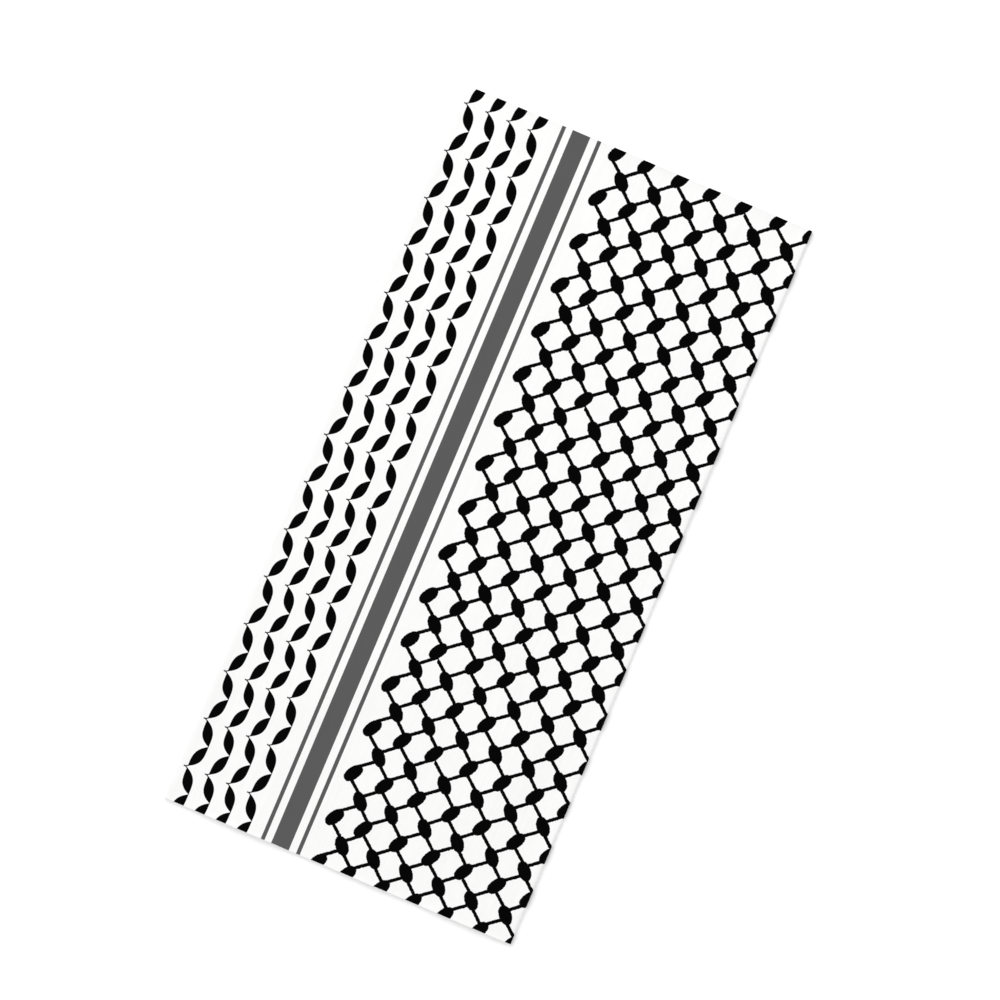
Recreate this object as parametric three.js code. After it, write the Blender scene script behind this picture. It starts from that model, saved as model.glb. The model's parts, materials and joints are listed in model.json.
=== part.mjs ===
// A keffiyeh-print tube scarf, laid flat: one seamless sleeve of stretch knit with raw-cut ends.
// Millimetres. X runs across the laid width, Y along the sleeve and Z up.
// The origin is on the resting surface, under the middle of the scarf.

import * as THREE from 'three';

// Driving sizes
const LAID_WIDTH = 241.3;
const LENGTH = 495.3;
const WALL = 1.0;
const LAYER_GAP = 0.4;
const FOLD_HEIGHT = 3.0;
const FOLD_SETTLE = 13;

// Spans of the mesh: round each fold, across the lower and upper layer, and along the sleeve.
// END_CROWDING draws the sections together towards the two ends, where the edge lifts.
const FOLD_SPANS = 8;
const LOWER_SPANS = 8;
const UPPER_SPANS = 26;
const LENGTH_SPANS = 48;
const END_CROWDING = 0.2;

// Swells where the upper layer stands off the lower one: centre, half-lengths along and across the
// swell's own line, the line's turn from +Y in degrees, and the height that it adds.
const SWELLS = [
  { x: -62, y: 158, reach: 88, breadth: 24, turn: 24, rise: 1.15 },
  { x: 44, y: 176, reach: 66, breadth: 28, turn: -38, rise: 0.75 },
  { x: 74, y: 84, reach: 104, breadth: 22, turn: 12, rise: 1.20 },
  { x: -24, y: 48, reach: 78, breadth: 32, turn: 63, rise: 0.70 },
  { x: -84, y: -22, reach: 86, breadth: 23, turn: -14, rise: 1.00 },
  { x: 26, y: -48, reach: 96, breadth: 27, turn: 31, rise: 1.25 },
  { x: 82, y: -132, reach: 74, breadth: 24, turn: -21, rise: 0.90 },
  { x: -46, y: -142, reach: 84, breadth: 30, turn: -52, rise: 0.95 },
  { x: 18, y: -196, reach: 58, breadth: 26, turn: 74, rise: 0.60 },
];

// Places where the upper layer's cut edge lifts and shows the mouth of the sleeve: the end that it
// is on, its centre across, its half width and its rise. The lift starts LIP_REACH in from the end.
const LIP_REACH = 30;
const LIPS = [
  { end: 1, x: -84, breadth: 32, rise: 1.1 },
  { end: 1, x: -8, breadth: 46, rise: 2.0 },
  { end: 1, x: 78, breadth: 36, rise: 1.4 },
  { end: -1, x: -66, breadth: 42, rise: 1.8 },
  { end: -1, x: 20, breadth: 34, rise: 1.0 },
  { end: -1, x: 86, breadth: 30, rise: 1.6 },
];

// Stretches where a side fold stands fuller than FOLD_HEIGHT: its side, centre along, half length
// and extra height.
const FOLD_PUFFS = [
  { side: -1, y: 176, reach: 58, rise: 0.85 },
  { side: -1, y: 34, reach: 74, rise: 0.45 },
  { side: -1, y: -150, reach: 66, rise: 0.95 },
  { side: 1, y: 212, reach: 44, rise: 0.50 },
  { side: 1, y: 70, reach: 82, rise: 0.90 },
  { side: 1, y: -96, reach: 52, rise: 0.60 },
  { side: 1, y: -206, reach: 48, rise: 0.80 },
];

const HALF_WIDTH = LAID_WIDTH / 2;
const HALF_LENGTH = LENGTH / 2;

// A soft hump, 1 at its centre and 0 a full reach away.
function hump(distance, reach) {
  const share = Math.min(Math.abs(distance) / reach, 1);
  return (1 - share * share) ** 2;
}

function swellRise(x, y) {
  return SWELLS.reduce((sum, swell) => {
    const turn = THREE.MathUtils.degToRad(swell.turn);
    const dx = x - swell.x;
    const dy = y - swell.y;
    const along = dy * Math.cos(turn) - dx * Math.sin(turn);
    const across = dx * Math.cos(turn) + dy * Math.sin(turn);
    return sum + swell.rise * hump(along, swell.reach) * hump(across, swell.breadth);
  }, 0);
}

function lipRise(x, y) {
  return LIPS.reduce((sum, lip) => {
    const inward = HALF_LENGTH - y * lip.end;
    const curl = Math.max(1 - inward / LIP_REACH, 0) ** 2;
    return sum + lip.rise * curl * hump(x - lip.x, lip.breadth);
  }, 0);
}

function foldHeight(side, y) {
  return FOLD_PUFFS
    .filter((puff) => puff.side === side)
    .reduce((height, puff) => height + puff.rise * hump(y - puff.y, puff.reach), FOLD_HEIGHT);
}

// Height of the upper layer's outer face, which comes down from each fold to lie on the lower layer.
function upperHeight(x, y) {
  const side = x < 0 ? -1 : 1;
  const fold = foldHeight(side, y);
  const inward = HALF_WIDTH - fold / 2 - Math.abs(x);
  const settled = THREE.MathUtils.smoothstep(inward, 0, FOLD_SETTLE);
  const laid = 2 * WALL + LAYER_GAP + swellRise(x, y) + lipRise(x, y);
  return THREE.MathUtils.lerp(fold, laid, settled);
}

// Points round one fold, from its lowest to its highest.
function foldPoints(side, y, inset) {
  const centre = foldHeight(side, y) / 2;
  const radius = centre - inset;
  return Array.from({ length: FOLD_SPANS + 1 }, (_, i) => {
    const angle = Math.PI * (i / FOLD_SPANS - 0.5);
    const x = side * (HALF_WIDTH - centre + radius * Math.cos(angle));
    return new THREE.Vector3(x, y, centre + radius * Math.sin(angle));
  });
}

// Points strictly between two places across the sleeve, at the height that the layer has there.
function layerPoints(fromX, toX, y, spans, heightAt) {
  return Array.from({ length: spans - 1 }, (_, i) => {
    const x = THREE.MathUtils.lerp(fromX, toX, (i + 1) / spans);
    return new THREE.Vector3(x, y, heightAt(x));
  });
}

// The closed section of the sleeve at y: its outer face at inset 0, its inner face at inset WALL.
function section(y, inset) {
  const right = foldPoints(1, y, inset);
  const left = foldPoints(-1, y, inset);
  const flatTo = right[0].x;
  const flatFrom = left[0].x;
  return [
    ...layerPoints(flatFrom, flatTo, y, LOWER_SPANS, () => inset),
    ...right,
    ...layerPoints(flatTo, flatFrom, y, UPPER_SPANS, (x) => upperHeight(x, y) - inset),
    ...left.reverse(),
  ];
}

// A closed skin over rings that follow one another and come back to the first.
function closedLoft(rings) {
  const size = rings[0].length;
  const index = [];
  rings.forEach((_, r) => {
    const here = r * size;
    const next = ((r + 1) % rings.length) * size;
    for (let i = 0; i < size; i += 1) {
      const j = (i + 1) % size;
      index.push(here + i, here + j, next + j);
      index.push(here + i, next + j, next + i);
    }
  });
  const geometry = new THREE.BufferGeometry().setFromPoints(rings.flat());
  geometry.setIndex(index);
  geometry.computeVertexNormals();
  return geometry;
}

// Places of the sections along the sleeve, from the far end to the near one.
function stationPlaces() {
  return Array.from({ length: LENGTH_SPANS + 1 }, (_, i) => {
    const share = 1 - 2 * (i / LENGTH_SPANS);
    return HALF_LENGTH * share * (1 + END_CROWDING * (1 - share * share));
  });
}

// The sleeve's wall: sections down its outer face from end to end, and back along its inner face.
function sleeveGeometry() {
  const stations = stationPlaces();
  const outer = stations.map((y) => section(y, 0));
  const inner = stations.map((y) => section(y, WALL)).reverse();
  return closedLoft([...outer, ...inner]);
}

const knit = new THREE.MeshStandardMaterial({ color: 0xf4f4f1, roughness: 0.9, metalness: 0 });

const scarf = new THREE.Group();
const sleeve = new THREE.Mesh(sleeveGeometry(), knit);
sleeve.name = 'scarf_tube';
scarf.add(sleeve);

export default scarf;
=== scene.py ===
"""A keffiyeh-print tube scarf, laid flat: its knit shell, its print, the light and the camera.

The form and the print are worked out in millimetres, and the meshes are in metres, +Z up. The print
is drawn on the unrolled tube: u runs round it from the left fold, across the front first, and v runs
down from the end that is at the top of the view.
"""

import json
import math

import bpy
import numpy as np
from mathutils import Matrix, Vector, noise
from mathutils.bvhtree import BVHTree

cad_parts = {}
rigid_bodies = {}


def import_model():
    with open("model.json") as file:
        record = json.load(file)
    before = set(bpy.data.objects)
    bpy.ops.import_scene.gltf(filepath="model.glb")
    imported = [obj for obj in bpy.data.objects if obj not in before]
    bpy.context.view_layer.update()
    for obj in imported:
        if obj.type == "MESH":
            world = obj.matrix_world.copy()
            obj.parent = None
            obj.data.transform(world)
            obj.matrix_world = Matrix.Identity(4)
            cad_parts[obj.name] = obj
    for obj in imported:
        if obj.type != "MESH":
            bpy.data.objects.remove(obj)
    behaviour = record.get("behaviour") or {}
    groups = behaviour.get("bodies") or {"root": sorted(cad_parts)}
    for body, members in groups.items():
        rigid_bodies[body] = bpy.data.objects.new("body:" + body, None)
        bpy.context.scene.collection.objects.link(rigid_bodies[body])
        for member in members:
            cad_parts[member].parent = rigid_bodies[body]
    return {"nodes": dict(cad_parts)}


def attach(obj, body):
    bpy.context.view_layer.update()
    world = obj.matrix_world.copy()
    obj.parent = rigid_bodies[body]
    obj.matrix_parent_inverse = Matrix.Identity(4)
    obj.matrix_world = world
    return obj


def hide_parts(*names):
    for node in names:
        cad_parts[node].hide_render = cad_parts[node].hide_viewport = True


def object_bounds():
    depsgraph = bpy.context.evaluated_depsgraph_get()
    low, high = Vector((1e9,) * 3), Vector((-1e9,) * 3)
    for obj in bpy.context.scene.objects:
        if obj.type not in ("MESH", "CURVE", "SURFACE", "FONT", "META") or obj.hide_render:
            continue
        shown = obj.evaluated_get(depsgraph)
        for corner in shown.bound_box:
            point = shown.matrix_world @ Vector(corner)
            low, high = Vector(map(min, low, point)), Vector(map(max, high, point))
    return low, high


MM = 0.001
TUBE_NODE = "scarf_tube"

# The shell: its wall, and its spans across the front and the back, round a quarter of a side fold
# and along the tube
WALL = 0.7
FRONT_SPANS = 132
BACK_SPANS = 60
QUARTER_SPANS = 6
LENGTH_SPANS = 216

# How the solid is measured: lines drop on it from above, and its facets are averaged out
DROP_FROM = 100.0
DROP_MARGIN = 0.05
CREST_SEARCH = (0.9, 2.7)  # how far in from the side a fold's crest may lie
CREST_STEPS = 10
SETTLING_PASSES = 16
JOIN_REACH = 6.0  # how far in from a fold the measured heights take over

# Finer unevenness of the knit: soft waves, longer along the tube than across it
RIPPLES = [
    {"across": 34, "along": 85, "height": 0.22, "seed": 1.7},
    {"across": 15, "along": 40, "height": 0.10, "seed": 9.0},
    {"across": 7, "along": 16, "height": 0.035, "seed": 16.3},
]
RIPPLE_EASE = 10.0  # how far in from a fold the ripples reach their full height

# The raw cut ends: the front layer rolls up there, and neither layer is cut quite straight. Each
# line of unevenness is read from the noise at its own row and seed.
CURL_REACH = 3.2  # how far in from the end the knit rolls up
CURL_RISE = 0.4  # how high it rolls on average
CURL_NOISE = {"row": 3.1, "seed": 0.4}
CUT_INSET = 0.11  # how far in from the end the cut lies on average
CUT_WANDER = 0.22  # the furthest that it strays from there
CUT_NOISE = {"front": 2.6, "back": 9.4, "seed": 0.3}
CUT_WAVE = 22.0
CUT_FADE = 12.0  # how far in from the end the knit feels the cut's strays

# The colour map's layout: the share of its width that each face of the cloth takes
MAP_BANDS = {
    "front": (0.004, 0.500),
    "back": (0.506, 0.796),
    "inside": (0.802, 0.960),
    "rim": (0.966, 0.996),
}
MAP_MARGIN = 0.004
RIM_SPAN = (0.05, 0.85)  # what each cut edge fills of its half of the rim's band

# Leaf chains: each column zigzags between left and right points, a leaf for each stretch. "outer" and
# "inner" are the powers of the edges that bulge right and left, and "late" is the share of a leaf's
# length, from its left point, over which it hasn't opened yet.
LEAF_LEFT = 6.70  # the first column's left points
LEAF_TOP = 10.8  # the uppermost left point
LEAF_COLUMNS = 4
LEAF_PITCH = 14.65
LEAF_WIDTH = 7.50
LEAF_PERIOD = 32.86
LEAF_LEAD = 0.2  # share of the pitch that lies left of a column's left points
FALLING_LEAF = {"outer": 3.9, "inner": 4.8, "late": 0.043}
RISING_LEAF = {"outer": 4.25, "inner": 3.8, "late": 0.022}

# The thin fork at each left point: its arms lead from the two leaves to the left, meet, and run on
# as a short spur
FORK_REACH = 1.4  # how far to the left of the point the arms meet
FORK_DROP = 0.25  # how far below the point they meet
FORK_SLOPE = 0.6
FORK_HALF = 0.29  # half the thickness of an arm, measured upright
FORK_OVERLAP = 0.7  # how far to the right of the point the arms run, over the leaves
SPUR_REACH = 2.45  # how far to the left of the point the spur ends

STRIPES = [
    {"centre": 69.05, "width": 2.6},
    {"centre": 81.05, "width": 12.2},
    {"centre": 93.5, "width": 2.6},
]

# Fishnet: a lattice of ovals leaning to the right, and between them ovals that fall to the right.
# The outermost columns stand further in. "bulge" is the oval's power, 2 for an ellipse.
NET_LEFT = 103.78
NET_TOP = 2.83
NET_PITCH = 22.99
NET_ROW = 30.74
LEANING = {
    "right": 0, "down": 0, "columns": 13, "inset": 2.18, "seed": 2,
    "half_length": 6.62, "half_width": 3.83, "bulge": 2.29, "turn": -58.1,
}
FALLING = {
    "right": 12.15, "down": 15.6, "columns": 12, "inset": 1.1, "seed": 7,
    "half_length": 6.5, "half_width": 4.0, "bulge": 2.07, "turn": 48.8,
}
# The lines that leave a falling oval: the quarter that each is in, its slope and its height where it
# passes the oval's middle
LINE_WIDTH = 2.02
NET_LINES = [
    {"right": 1, "down": 1, "slope": 0.878, "height": 1.90},
    {"right": -1, "down": 1, "slope": 0.796, "height": 2.85},
    {"right": -1, "down": -1, "slope": 0.809, "height": 2.22},
    {"right": 1, "down": -1, "slope": 0.842, "height": 3.37},
]
KNOT_STRAY = 1.1  # the furthest that a knot is out of line, side to side
ROW_STRAY = 0.4  # the furthest that a whole row is, up or down
WHOLE_ROW = -1  # stands where a knot's column would, for the stray that its row shares
STRAY_REPEAT = 8  # rows after which the strays come again

# How the ink takes to the knit. A seed is where in the noise an unevenness is read.
INK_SPREAD = 0.14  # how far the black runs past its drawn edge
INK_BLEED = 0.13
FEATHER = 0.25  # how far the knit's loops break up an ink edge
FEATHER_WAVE = 0.9
FEATHER_SEED = 5.0
RAGGED = 0.95  # how uneven the net's drawn edges are
RAGGED_WAVE = 1.3
RAGGED_SEEDS = (8.0, 13.0)  # across and along the tube
GHOST = 0.07  # how much of the print shows on the inside

# Knit stitches, and the streaks and clouds that the eye sees in their place
WALE = 0.80
COURSE = 0.62
STITCH_HEIGHT = 0.08
# Painted shade: how much the knit's colour is darkened in the grooves between its loops
GROOVE_SHADE = 0.070
STREAK_ACROSS = 1.9
STREAK_ALONG = 55.0
STREAK_TONE = 0.060
STREAK_HEIGHT = 0.05
STREAK_SEED = 21.0
CLOUD = 17.0
CLOUD_TONE = 0.040
CLOUD_SEED = 31.0
NOISE_DETAIL = 2.0

# Linear colours and the finish
WHITE = (0.885, 0.885, 0.880)
GREY = (0.0975, 0.0970, 0.0985)
BLACK = (0.0008, 0.0008, 0.0009)
FLOOR = (0.97, 0.97, 0.97)
FLOOR_ROUGHNESS = 0.9
ROUGHNESS = 0.86
ROUGHNESS_DRIFT = 0.10
INK_SMOOTHS = 0.06
SPECULAR = 0.02
SHEEN = 0.02
SHEEN_ROUGHNESS = 0.5

# The view: straight down, the scarf's top leaning to the right
VIEW_TURN = math.radians(22.947)
PIXEL = 0.640  # millimetres of the surface for each pixel
PIXELS = 1000
SCARF_LEFT = 12.2  # pixels from the middle of the view to the middle of the scarf
SCARF_BELOW = 14.3
LENS = 200.0
SENSOR = 36.0

FLOOR_DROP = 0.25  # how far the floor lies under the cloth, so that their faces don't coincide
FLOOR_SIZE = 8000.0
LAMPS = [
    {"place": (-1.9, 1.4, 2.1), "size": 3.0, "power": 60.0},
    {"place": (1.7, -0.8, 2.4), "size": 3.2, "power": 14.0},
]
SKY = 0.76

for thing in list(bpy.data.objects):
    bpy.data.objects.remove(thing)
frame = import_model()
CAD_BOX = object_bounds()
HALF_WIDTH = CAD_BOX[1].x / MM
HALF_LENGTH = CAD_BOX[1].y / MM
LAID_WIDTH = 2 * HALF_WIDTH
LENGTH = 2 * HALF_LENGTH
GIRTH = 2 * LAID_WIDTH


def ease(share):
    share = np.clip(share, 0, 1)
    return share * share * (3 - 2 * share)


def waves(x, y, across, along, seed):
    """Smooth noise at each place of a grid, between -1 and 1."""
    places = zip(x.ravel() / across, y.ravel() / along)
    return np.array([noise.noise(Vector((a, b, seed))) for a, b in places]).reshape(x.shape)


def end_waves(x, y, row, seed):
    """Smooth noise along the cut ends, another line of it at each end and for each row."""
    return waves(x, row * np.sign(y), CUT_WAVE, 1.0, seed)


def solid_tree():
    mesh = frame["nodes"][TUBE_NODE].data
    corners = [corner.co for corner in mesh.vertices]
    return BVHTree.FromPolygons(corners, [tuple(face.vertices) for face in mesh.polygons])


def upper_face(tree, x, y):
    """Height of the solid's upper face at each place of a grid, found by dropping lines on it."""
    x = np.clip(x, DROP_MARGIN - HALF_WIDTH, HALF_WIDTH - DROP_MARGIN)
    y = np.clip(y, DROP_MARGIN - HALF_LENGTH, HALF_LENGTH - DROP_MARGIN)
    starts = (Vector((a, b, DROP_FROM)) * MM for a, b in zip(x.ravel(), y.ravel()))
    hits = [tree.ray_cast(start, Vector((0, 0, -1)))[0].z / MM for start in starts]
    return np.array(hits).reshape(x.shape)


def settled(heights):
    """The heights with their facets averaged out, the slope at the edges kept."""
    for _ in range(SETTLING_PASSES):
        wide = np.pad(heights, 1, mode="reflect", reflect_type="odd")
        along = (wide[:-2] + 2 * wide[1:-1] + wide[2:]) / 4
        heights = (along[:, :-2] + 2 * along[:, 1:-1] + along[:, 2:]) / 4
    return heights


def curl_rise(x, y):
    """How far the front layer's raw edge rolls up near either end, unevenly."""
    share = np.maximum(1 - (HALF_LENGTH - np.abs(y)) / CURL_REACH, 0)
    return CURL_RISE * share**2 * (1 + end_waves(x, y, CURL_NOISE["row"], CURL_NOISE["seed"]))


def ripple_rise(x, y):
    return sum(
        ripple["height"] * waves(x, y, ripple["across"], ripple["along"], ripple["seed"])
        for ripple in RIPPLES
    )


class Form:
    """The laid tube's shape, measured on the solid: its side folds and its front layer."""

    def __init__(self):
        tree = solid_tree()
        self.y = np.linspace(HALF_LENGTH, -HALF_LENGTH, LENGTH_SPANS + 1)
        self.folds = {side: self.fold_heights(tree, side) for side in (-1, 1)}
        self.front_x = self.flat_stretch(FRONT_SPANS)
        self.back_x = self.flat_stretch(BACK_SPANS)[:, ::-1]
        self.front_z = self.front_heights(tree)

    def fold_heights(self, tree, side):
        """Height of a side fold's crest at each place along the tube."""
        inward = np.linspace(*CREST_SEARCH, CREST_STEPS)
        x, y = np.meshgrid(side * (HALF_WIDTH - inward), self.y)
        crest = upper_face(tree, x, y).max(axis=1)
        return settled(np.stack([crest] * 3, axis=1))[:, 1]

    def flat_stretch(self, spans):
        """Places across the tube from fold to fold, a row for each place along it."""
        left = -HALF_WIDTH + self.folds[-1] / 2
        right = HALF_WIDTH - self.folds[1] / 2
        return left[:, None] + (right - left)[:, None] * np.linspace(0, 1, spans + 1)

    def front_heights(self, tree):
        """Height of the front layer, joined to the folds and made as uneven as a knit is."""
        x, y = np.broadcast_arrays(self.front_x, self.y[:, None])
        fold = np.where(x < 0, self.folds[-1][:, None], self.folds[1][:, None])
        inward = HALF_WIDTH - fold / 2 - np.abs(x)
        laid = settled(upper_face(tree, x, y))
        laid = fold + (laid - fold) * ease(inward / JOIN_REACH)
        return laid + (ripple_rise(x, y) + curl_rise(x, y)) * ease(inward / RIPPLE_EASE)

    def fold_arc(self, side, inset, degrees):
        """Points round a side fold, at these angles above its outermost line: their x and z."""
        centre = self.folds[side][:, None] / 2
        angle = np.radians(degrees)
        x = side * (HALF_WIDTH - centre + (centre - inset) * np.cos(angle))
        return x, centre + (centre - inset) * np.sin(angle)

    def rings(self, inset):
        """Closed sections from the left fold over the front, round the right fold and back under."""
        quarter = np.linspace(0, 90, QUARTER_SPANS + 1)
        half = np.linspace(90, -90, 2 * QUARTER_SPANS + 1)
        stretches = [
            self.fold_arc(-1, inset, quarter[:-1]),
            (self.front_x, self.front_z - inset),
            self.fold_arc(1, inset, half[1:-1]),
            (self.back_x, np.full(self.back_x.shape, float(inset))),
            self.fold_arc(-1, inset, -quarter[-2:0:-1]),
        ]
        x = np.hstack([stretch[0] for stretch in stretches])
        z = np.hstack([stretch[1] for stretch in stretches])
        return np.stack([x, self.cut_places(x), z], axis=-1)

    def cut_places(self, x):
        """Places along the tube, moved a little near its ends, where the raw cut isn't straight."""
        y = np.broadcast_to(self.y[:, None], x.shape)
        on_front = np.arange(x.shape[1]) < face_turn()
        row = np.where(on_front, CUT_NOISE["front"], CUT_NOISE["back"])
        inward = CUT_INSET + CUT_WANDER * end_waves(x, y, row, CUT_NOISE["seed"])
        fade = ease(1 - (HALF_LENGTH - np.abs(y)) / CUT_FADE)
        return y - np.sign(y) * fade * inward

    def round_cloth(self):
        """How far round the cut cloth each ring point is, the last one back at the left fold.

        The flat stretches lie as printed, and the knit stretches a little round each fold.
        """
        left, right = self.folds[-1][:, None] / 2, self.folds[1][:, None] / 2
        quarter = np.linspace(0, 1, QUARTER_SPANS + 1)
        half = np.linspace(-1, 1, 2 * QUARTER_SPANS + 1)
        stretches = [
            left * quarter[:-1],
            self.front_x + HALF_WIDTH,
            LAID_WIDTH + right * half[1:-1],
            GIRTH - HALF_WIDTH - self.back_x,
            GIRTH - left * quarter[-2::-1],
        ]
        return np.hstack(stretches)


def face_turn():
    """How many spans the front takes of a ring, to the outermost line of each fold."""
    return 2 * QUARTER_SPANS + FRONT_SPANS


def corner_values(rows):
    """The four corner values of each face, for rows that repeat their first value at the end."""
    after = np.roll(rows, -1, axis=0)
    corners = [rows[:, :-1], after[:, :-1], after[:, 1:], rows[:, 1:]]
    return np.stack(corners, axis=-1).reshape(-1, 4)


def closed_rows(rows):
    return np.concatenate([rows, rows[:, :1]], axis=1)


def build_tube():
    """The shell as one closed skin: its outer face from end to end, then back along its inner face."""
    form = Form()
    points = np.concatenate([form.rings(0.0), form.rings(WALL)[::-1]])
    count, size = points.shape[:2]
    faces = corner_values(closed_rows(np.arange(count * size).reshape(count, size)))
    mesh = bpy.data.meshes.new("scarf_shell")
    mesh.from_pydata((points.reshape(-1, 3) * MM).tolist(), [], faces.tolist())
    outer = form.round_cloth()
    across = corner_values(np.concatenate([outer, outer[::-1]]))
    down = corner_values(closed_rows(HALF_LENGTH - points[..., 1]))
    kinds = face_kinds(size)
    lay_maps(mesh, kinds, across, down)
    mark_faces(mesh, kinds, size)
    tube = bpy.data.objects.new("scarf_shell", mesh)
    bpy.context.scene.collection.objects.link(tube)
    return tube


def face_kinds(size):
    """Which face of the cloth each mesh face is on, in the order that build_tube makes them."""
    outer = ["front"] * face_turn() + ["back"] * (size - face_turn())
    inner = ["inside"] * (size * LENGTH_SPANS)
    return np.array(outer * LENGTH_SPANS + ["rim"] * size + inner + ["rim"] * size)


def lay_maps(mesh, kinds, across, down):
    """Two maps: the place on the unrolled cloth in millimetres, and the layout of the colour map."""
    cloth = np.stack([across, down], axis=-1)
    mesh.uv_layers.new(name="cloth").data.foreach_set("uv", cloth.ravel())
    layout = colour_layout(kinds, across, down)
    mesh.uv_layers.new(name="OFBake").data.foreach_set("uv", layout.ravel())


def colour_layout(kinds, across, down):
    """Where each corner of the mesh faces lies on the colour map: a band for each face of the cloth."""
    height = 1 - 2 * MAP_MARGIN
    layout = np.zeros((*across.shape, 2))
    spans = {"front": (0, LAID_WIDTH), "back": (LAID_WIDTH, GIRTH), "inside": (0, GIRTH)}
    for kind, (start, end) in spans.items():
        low, high = MAP_BANDS[kind]
        chosen = kinds == kind
        share = (across[chosen] - start) / (end - start)
        layout[chosen, :, 0] = low + (high - low) * share
        layout[chosen, :, 1] = MAP_MARGIN + height * np.clip(1 - down[chosen] / LENGTH, 0, 1)
    low, high = MAP_BANDS["rim"]
    thin = (high - low) / 2
    near, far = RIM_SPAN
    for k, rim in enumerate(np.split(np.flatnonzero(kinds == "rim"), 2)):
        layout[rim, :, 0] = low + thin * (k + np.array([near, far, far, near]))
        layout[rim, :, 1] = MAP_MARGIN + height * across[rim] / GIRTH
    return layout


def mark_faces(mesh, kinds, size):
    """Smooth faces, sharp lines round both cut edges, and the plain finish inside and on the cuts."""
    mesh.polygons.foreach_set("use_smooth", np.ones(len(kinds), bool))
    mesh.polygons.foreach_set("material_index", np.isin(kinds, ["inside", "rim"]).astype(int))
    ends = np.zeros(len(mesh.edges) * 2, int)
    mesh.edges.foreach_get("vertices", ends)
    rows = ends.reshape(-1, 2) // size
    cut_rows = [0, LENGTH_SPANS, LENGTH_SPANS + 1, 2 * LENGTH_SPANS + 1]
    sharp = (rows[:, 0] == rows[:, 1]) & np.isin(rows[:, 0], cut_rows)
    mesh.edges.foreach_set("use_edge_sharp", sharp)
    mesh.update()


class Field:
    """A value that varies over the cloth: one output of a shader's nodes, with arithmetic."""

    def __init__(self, tree, socket):
        self.tree = tree
        self.socket = socket

    def node(self, kind, values, **settings):
        """A new node of this kind, fed with the given constants or fields."""
        made = self.tree.nodes.new(kind)
        for name, setting in settings.items():
            setattr(made, name, setting)
        for slot, value in values.items():
            if isinstance(value, Field):
                self.tree.links.new(value.socket, made.inputs[slot])
            else:
                made.inputs[slot].default_value = value
        return made

    def math(self, operation, *values):
        made = self.node("ShaderNodeMath", dict(enumerate(values)), operation=operation)
        return Field(self.tree, made.outputs[0])

    def __add__(self, other):
        return self.math("ADD", self, other)

    def __sub__(self, other):
        return self.math("SUBTRACT", self, other)

    def __rsub__(self, other):
        return self.math("SUBTRACT", other, self)

    def __mul__(self, other):
        return self.math("MULTIPLY", self, other)

    def __truediv__(self, other):
        return self.math("DIVIDE", self, other)

    def __pow__(self, other):
        return self.math("POWER", self, other)

    def __abs__(self):
        return self.math("ABSOLUTE", self)

    __radd__ = __add__
    __rmul__ = __mul__

    def floor(self):
        return self.math("FLOOR", self)

    def fraction(self):
        return self.math("FRACT", self)

    def below(self, other):
        return self.math("LESS_THAN", self, other)

    def least(self, other):
        return self.math("MINIMUM", self, other)

    def most(self, other):
        return self.math("MAXIMUM", self, other)

    def remainder(self, count):
        """What is left over whole counts, never negative."""
        return self.math("FLOORED_MODULO", self, count)

    def nearest(self, pitch):
        """How far this is from the nearest whole step of a pitch."""
        steps = self / pitch
        return (steps - (steps + 0.5).floor()) * pitch

    def cover(self, softness):
        """1 where this is well above 0, and 0 where it is well below, with a soft step between."""
        values = {"Value": self, "From Min": -softness, "From Max": softness}
        made = self.node("ShaderNodeMapRange", values, interpolation_type="SMOOTHSTEP")
        return Field(self.tree, made.outputs["Result"])


def leaf(x, turn):
    """How far inside the leaf of this half turn a place is, x from the chain's left points."""
    falling = turn.below(0.5)
    along = turn.least(1 - turn) * 2
    outer_power, inner_power, late = (
        falling * (FALLING_LEAF[name] - RISING_LEAF[name]) + RISING_LEAF[name]
        for name in ("outer", "inner", "late")
    )
    outer = 1 - ((1 - along) / (1 - late)) ** outer_power
    return (outer * LEAF_WIDTH - x).least(x - along**inner_power * LEAF_WIDTH)


def fork(x, y):
    """How far inside the fork at a left point a place is, x to the right of it and y below."""
    arms = (x + FORK_REACH).most(0) * FORK_SLOPE
    depth = FORK_HALF - abs(abs(y - FORK_DROP) - arms)
    return depth.least(x + SPUR_REACH).least(FORK_OVERLAP - x)


def leaf_ink(u, v):
    """Chains of leaves, joined at their left points by thin forks."""
    steps = (u - LEAF_LEFT) / LEAF_PITCH
    column = (steps + LEAF_LEAD).floor().most(0).least(LEAF_COLUMNS - 1)
    x, down = (steps - column) * LEAF_PITCH, v - LEAF_TOP
    inked = leaf(x, (down / LEAF_PERIOD).fraction()).most(fork(x, down.nearest(LEAF_PERIOD)))
    return (inked + INK_SPREAD).cover(INK_BLEED)


def stripe_ink(u):
    depths = [stripe["width"] / 2 - abs(u - stripe["centre"]) for stripe in STRIPES]
    return depths[0].most(depths[1]).most(depths[2]).cover(INK_BLEED)


def swing(column, row, seed):
    """A value for each knot or row, from -1 to 1 and mostly small, the same in every run."""
    joined = row.node("ShaderNodeCombineXYZ", {"X": column, "Y": row, "Z": seed})
    place = Field(row.tree, joined.outputs["Vector"])
    made = row.node("ShaderNodeTexWhiteNoise", {"Vector": place}, noise_dimensions="3D")
    even = Field(row.tree, made.outputs["Value"]) * 2 - 1
    return even * abs(even)


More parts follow.
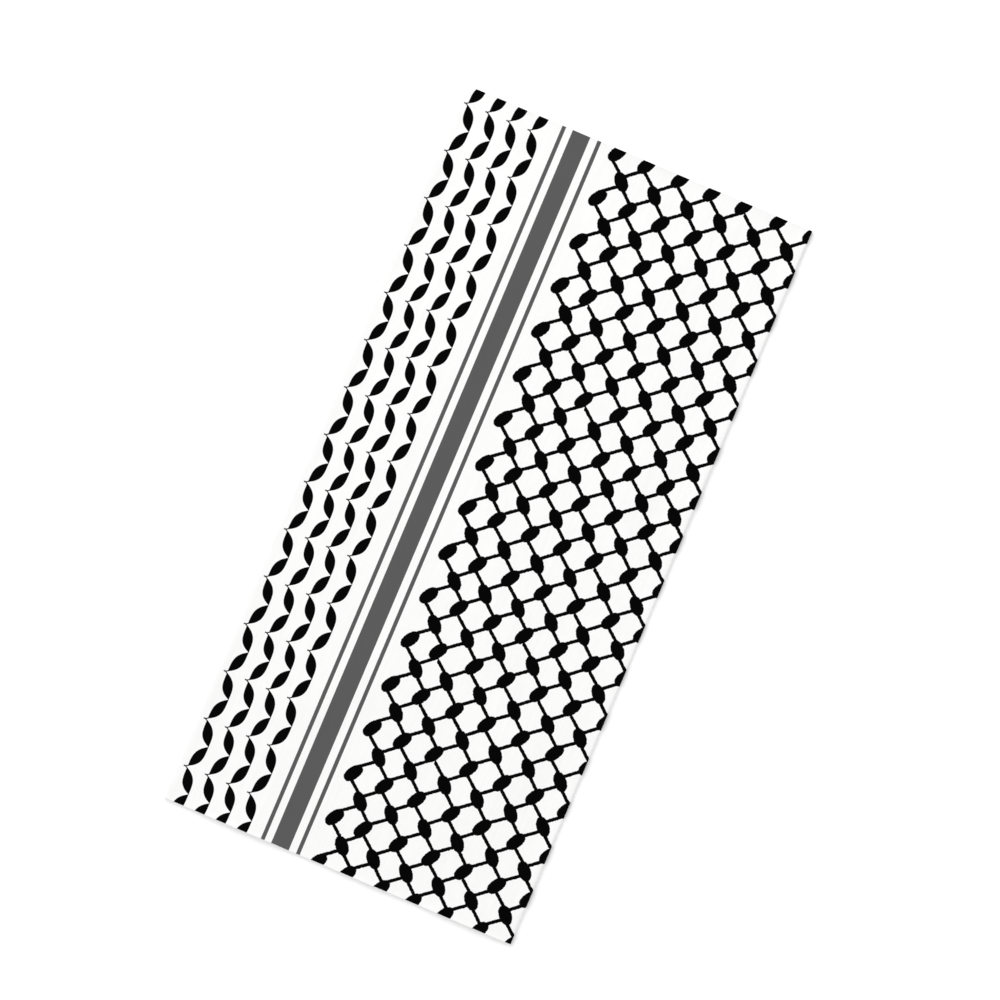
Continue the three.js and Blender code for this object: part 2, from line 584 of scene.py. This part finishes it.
def off_knot(u, v, knots):
    """How far a place is to the right of, and below, the nearest knot of one set."""
    x, y = u - (NET_LEFT + knots["right"]), v - (NET_TOP + knots["down"])
    last = knots["columns"] - 1
    column = (x / NET_PITCH + 0.5).floor().most(0).least(last)
    row = (y / NET_ROW + 0.5).floor()
    inset = (column.below(0.5) - (last - column).below(0.5)) * knots["inset"]
    turn = row.remainder(STRAY_REPEAT)
    stray = swing(column, turn, knots["seed"]) * KNOT_STRAY
    sag = swing(WHOLE_ROW, turn, knots["seed"]) * ROW_STRAY
    return x - column * NET_PITCH - inset - stray, y - row * NET_ROW - sag


def oval(x, y, knots):
    """How far inside the tilted oval of a knot a place is."""
    turn, bulge = math.radians(knots["turn"]), knots["bulge"]
    along = abs(x * math.cos(turn) + y * math.sin(turn)) / knots["half_length"]
    across = abs(y * math.cos(turn) - x * math.sin(turn)) / knots["half_width"]
    return (1 - (along**bulge + across**bulge) ** (1 / bulge)) * knots["half_width"]


def net_line(x, y, line):
    """How far inside one of the lines round a falling oval a place is, within its own quarter."""
    off = y * line["down"] - line["height"] - abs(x) * line["slope"]
    inside = LINE_WIDTH / 2 - abs(off) / math.hypot(1, line["slope"])
    return inside.least(x * line["right"]).least(y * line["down"]).least(NET_PITCH / 2 - abs(x))


def net_ink(u, v):
    """The fishnet: ovals at the knots of a staggered lattice, joined by lines."""
    inked = oval(*off_knot(u, v, LEANING), LEANING)
    x, y = off_knot(u, v, FALLING)
    inked = inked.most(oval(x, y, FALLING))
    for line in NET_LINES:
        inked = inked.most(net_line(x, y, line))
    return (inked + INK_SPREAD).cover(INK_BLEED)


def cloth_place(tree):
    """The place on the unrolled cloth, in millimetres: two fields."""
    layer = tree.nodes.new("ShaderNodeUVMap")
    layer.uv_map = "cloth"
    split = tree.nodes.new("ShaderNodeSeparateXYZ")
    tree.links.new(layer.outputs["UV"], split.inputs["Vector"])
    return Field(tree, split.outputs["X"]), Field(tree, split.outputs["Y"])


def cloud(u, v, across, along, seed):
    """Smooth noise over the cloth, from -0.5 to 0.5, with its own wave lengths."""
    joined = u.node("ShaderNodeCombineXYZ", {"X": u / across, "Y": v / along, "Z": seed})
    place = Field(u.tree, joined.outputs["Vector"])
    made = u.node("ShaderNodeTexNoise", {"Vector": place, "Scale": 1.0, "Detail": NOISE_DETAIL})
    return Field(u.tree, made.outputs["Fac"]) - 0.5


def print_inks(u, v):
    """The black and the grey ink, each from 0 to 1: mirrored leaves and stripes, and a net between."""
    feather = cloud(u, v, FEATHER_WAVE, FEATHER_WAVE, FEATHER_SEED) * FEATHER
    across, along = (cloud(u, v, RAGGED_WAVE, RAGGED_WAVE, seed) * RAGGED for seed in RAGGED_SEEDS)
    net = net_ink(u + across, v + along)
    mirrored = u.least(GIRTH - u)
    return net.most(leaf_ink(mirrored + feather, v)), stripe_ink(mirrored + feather)


def stitches(u, v):
    """Height of the knit's face, from 0 to 1: columns of slanting loops."""
    side = abs(u.nearest(WALE)) / (WALE / 2)
    leg = (v / COURSE + side * 0.5).fraction() * 2 - 1
    return (1 - side * side) * (1 - leg * leg)


def scaled(colour, strength):
    made = strength.node("ShaderNodeVectorMath", {0: colour, 3: strength}, operation="SCALE")
    return Field(strength.tree, made.outputs["Vector"])


def blended(amount, first, second):
    """From the first colour to the second, by an amount from 0 to 1."""
    made = amount.node("ShaderNodeMix", {0: amount, 6: first, 7: second}, data_type="RGBA")
    return Field(amount.tree, made.outputs[2])


def knit_material(name, cloth_colour):
    """A matt knit: its own colour, uneven tone, painted shade in the grooves between its loops,
    roughness, and stitches as bump.
    """
    material = bpy.data.materials.new(name)
    material.use_nodes = True
    u, v = cloth_place(material.node_tree)
    loops = stitches(u, v)
    streak = cloud(u, v, STREAK_ACROSS, STREAK_ALONG, STREAK_SEED)
    mottle = cloud(u, v, CLOUD, CLOUD, CLOUD_SEED)
    # The streaks and clouds are the knit's own uneven tone; the darkening in the grooves between the
    # loops is painted shade
    tone = streak * STREAK_TONE + mottle * CLOUD_TONE + 1 - (1 - loops) * GROOVE_SHADE
    colour, inked = cloth_colour(*print_inks(u, v))
    roughness = streak * ROUGHNESS_DRIFT + ROUGHNESS - inked * INK_SMOOTHS
    relief = (loops * STITCH_HEIGHT + streak * STREAK_HEIGHT) * MM
    finish_knit(material.node_tree, scaled(colour, tone), roughness, relief)
    return material


def finish_knit(tree, colour, roughness, relief):
    """Feeds the shader with the fields that vary, and with the finish that is the same all over."""
    shader = tree.nodes["Principled BSDF"]
    bump = relief.node("ShaderNodeBump", {"Height": relief, "Distance": 1.0, "Strength": 1.0})
    tree.links.new(colour.socket, shader.inputs["Base Color"])
    tree.links.new(roughness.socket, shader.inputs["Roughness"])
    tree.links.new(bump.outputs["Normal"], shader.inputs["Normal"])
    shader.inputs["Specular IOR Level"].default_value = SPECULAR
    shader.inputs["Sheen Weight"].default_value = SHEEN
    shader.inputs["Sheen Roughness"].default_value = SHEEN_ROUGHNESS


def printed_colour(black, grey):
    """The outside: both inks at full strength on white."""
    striped = blended(grey, (*WHITE, 1), (*GREY, 1))
    return blended(black, striped, (*BLACK, 1)), black.most(grey)


def plain_colour(black, grey):
    """The inside and the cut edges: white, with a ghost of the inks that soaked through."""
    soaked = black.most(grey) * GHOST
    return blended(soaked, (*WHITE, 1), (*GREY, 1)), soaked


def dress_tube():
    """The scarf itself: one shell in place of its solid."""
    tube = build_tube()
    tube.data.materials.append(knit_material("printed_knit", printed_colour))
    tube.data.materials.append(knit_material("plain_knit", plain_colour))
    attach(tube, "root")
    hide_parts(TUBE_NODE)
    return tube


def lay_floor():
    half = FLOOR_SIZE / 2 * MM
    corners = [(-half, -half), (half, -half), (half, half), (-half, half)]
    mesh = bpy.data.meshes.new("floor")
    mesh.from_pydata([(x, y, -FLOOR_DROP * MM) for x, y in corners], [], [(0, 1, 2, 3)])
    floor = bpy.data.objects.new("floor", mesh)
    bpy.context.scene.collection.objects.link(floor)
    material = bpy.data.materials.new("floor_paper")
    material.use_nodes = True
    shader = material.node_tree.nodes["Principled BSDF"]
    shader.inputs["Base Color"].default_value = (*FLOOR, 1)
    shader.inputs["Roughness"].default_value = FLOOR_ROUGHNESS
    shader.inputs["Specular IOR Level"].default_value = 0.0
    mesh.materials.append(material)


def hang_lamps():
    for k, lamp in enumerate(LAMPS):
        data = bpy.data.lights.new(f"lamp_{k}", "AREA")
        data.shape = "DISK"
        data.size = lamp["size"]
        data.energy = lamp["power"]
        holder = bpy.data.objects.new(f"lamp_{k}", data)
        holder.location = lamp["place"]
        holder.rotation_euler = Vector(lamp["place"]).to_track_quat("Z", "Y").to_euler()
        bpy.context.scene.collection.objects.link(holder)


def light_sky():
    world = bpy.data.worlds.new("studio")
    world.use_nodes = True
    sky = world.node_tree.nodes["Background"]
    sky.inputs["Color"].default_value = (1, 1, 1, 1)
    sky.inputs["Strength"].default_value = SKY
    bpy.context.scene.world = world
    bpy.context.scene.view_settings.view_transform = "Standard"


def place_camera():
    """Straight above the cloth, turned so that the scarf leans as in the photograph."""
    data = bpy.data.cameras.new("camera")
    data.lens = LENS
    data.sensor_width = SENSOR
    camera = bpy.data.objects.new("camera", data)
    right = Vector((math.cos(VIEW_TURN), math.sin(VIEW_TURN), 0))
    up = Vector((-math.sin(VIEW_TURN), math.cos(VIEW_TURN), 0))
    distance = PIXEL * PIXELS * LENS / SENSOR
    place = (right * SCARF_LEFT + up * SCARF_BELOW) * PIXEL + Vector((0, 0, distance))
    camera.location = place * MM
    camera.rotation_euler = (0, 0, VIEW_TURN)
    bpy.context.scene.collection.objects.link(camera)
    bpy.context.scene.camera = camera


lay_floor()
hang_lamps()
light_sky()
place_camera()
tube = dress_tube()
